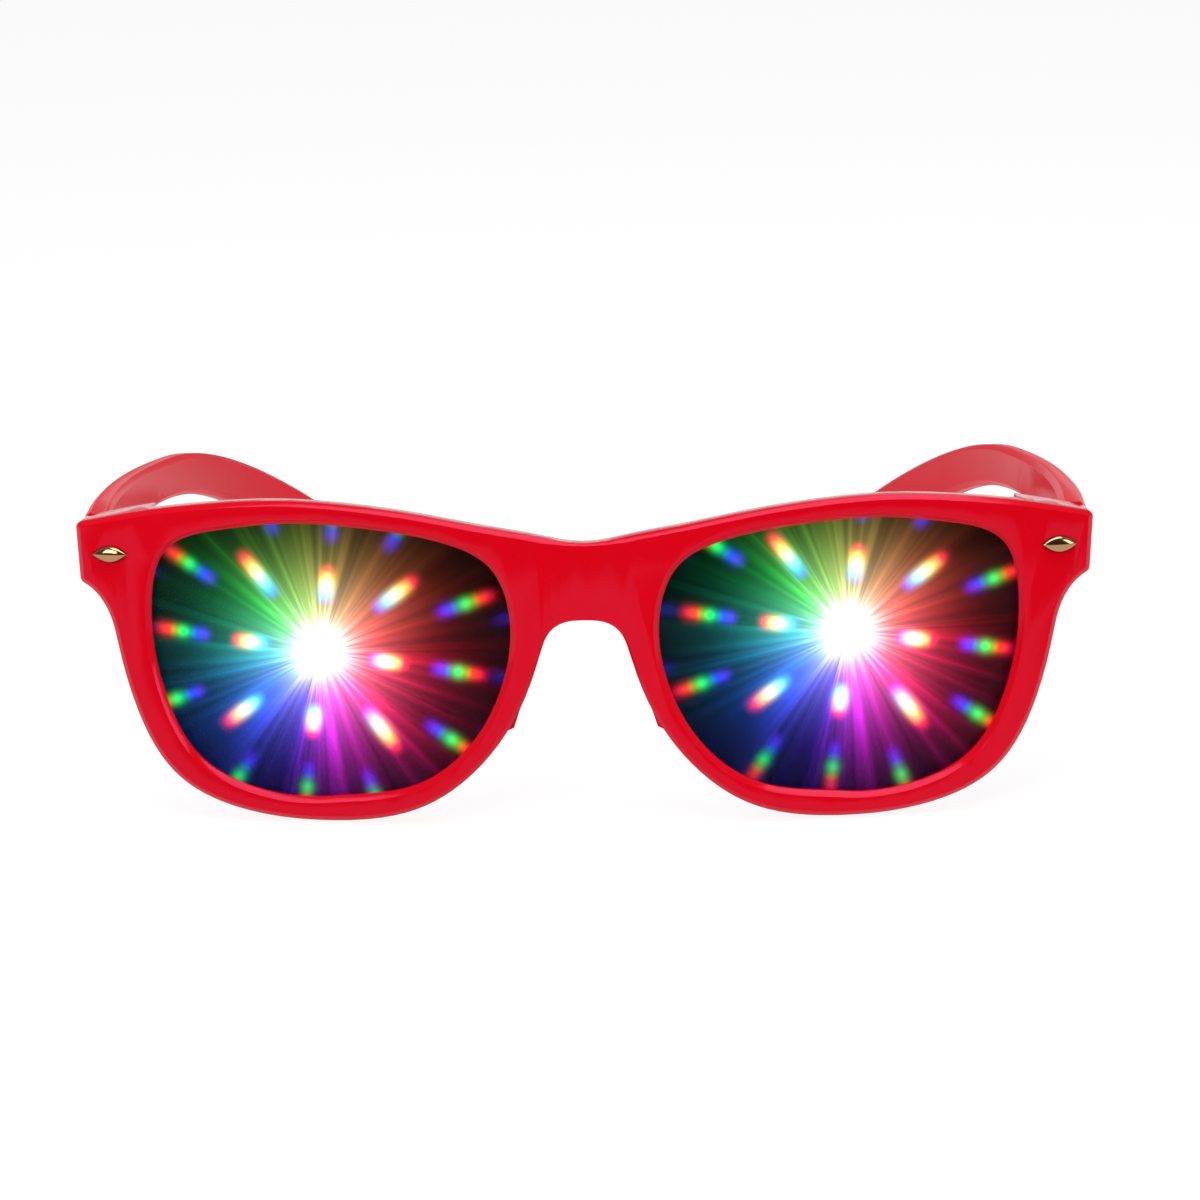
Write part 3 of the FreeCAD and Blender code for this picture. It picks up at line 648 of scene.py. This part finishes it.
# Softboxes: name, place, aim and size in metres, and power in watts
SOFTBOXES = (("softbox_above", (0.05, -0.15, 0.75), (0.0, -0.03, 0.02), (0.7, 0.35), 3.6),
             ("softbox_front", (-0.45, -0.75, 0.55), (0.0, -0.05, 0.02), (0.5, 0.5), 4.6),
             ("softbox_side", (0.7, -0.45, 0.4), (0.0, -0.05, 0.02), (0.3, 0.5), 2.2))


def make_softbox(name, place, aim, size, power):
    data = bpy.data.lights.new(name, "AREA")
    data.shape = "RECTANGLE"
    data.size, data.size_y = size
    data.energy = power
    lamp = bpy.data.objects.new(name, data)
    lamp.location = place
    lamp.rotation_euler = (Vector(aim) - Vector(place)).to_track_quat("-Z", "Y").to_euler()
    bpy.context.scene.collection.objects.link(lamp)


# Table: half its width in metres, its drop under the part, and how white it shows
TABLE_HALF = 40.0
TABLE_DROP = 0.05
TABLE_WHITENESS = 1.06
TABLE_WHITE_SHARE = 0.84


def make_table():
    """A white table top far larger than the view, which keeps only a pale shadow."""
    half = TABLE_HALF
    data = bpy.data.meshes.new("table_top")
    corners = [(-half, -half, 0), (half, -half, 0), (half, half, 0), (-half, half, 0)]
    data.from_pydata(corners, [], [(0, 1, 2, 3)])
    table = bpy.data.objects.new("table_top", data)
    table.location.z = CAD_LOW.z - TABLE_DROP * MM
    material, tree = new_material("white_table_laminate")
    path = add(tree, "ShaderNodeLightPath").outputs
    seen = add(tree, MATH, (path["Is Glossy Ray"], path["Is Transmission Ray"]), operation="MAXIMUM")
    seen = add(tree, MATH, (path["Is Camera Ray"], seen), operation="MAXIMUM")
    share = add(tree, MATH, (seen, TABLE_WHITE_SHARE), operation="MULTIPLY")
    matt = add(tree, "ShaderNodeBsdfDiffuse", {"Color": linear("F4F4F4")})
    white = add(tree, "ShaderNodeEmission", {"Color": linear("FFFFFF"), "Strength": TABLE_WHITENESS})
    shader = add(tree, "ShaderNodeMixShader", (share, matt, white))
    add(tree, "ShaderNodeOutputMaterial", {"Surface": shader})
    data.materials.append(material)
    bpy.context.scene.collection.objects.link(table)


# Studio walls: their shades from the photographer's side to the far side, and where the far side starts
WALL_SHADES = ((0.0, "3A3A3C"), (0.35, "5E5E60"), (0.7, "A4A4A6"), (1.0, "B2B2B4"))
FAR_WALL = 0.6


def make_world():
    """A plain studio: pale above and behind, dimmer on the photographer's side."""
    world = bpy.data.worlds.new("studio")
    bpy.context.scene.world = world
    world.use_nodes = True
    tree = world.node_tree
    tree.nodes.clear()
    way = add(tree, "ShaderNodeTexCoord").outputs["Generated"]
    parts = add(tree, "ShaderNodeSeparateXYZ", (way,))
    depth = add(tree, "ShaderNodeMapRange",
                {"Value": parts.outputs["Y"], "From Min": -1.0, "From Max": FAR_WALL})
    colour = add(tree, "ShaderNodeValToRGB", {"Fac": depth}, WALL_SHADES)
    shade = add(tree, "ShaderNodeBackground", {"Color": colour, "Strength": 1.0})
    add(tree, "ShaderNodeOutputWorld", {"Surface": shade})


make_camera()
make_table()
make_world()
for softbox in SOFTBOXES:
    make_softbox(*softbox)

bpy.context.scene.view_settings.view_transform = "Standard"
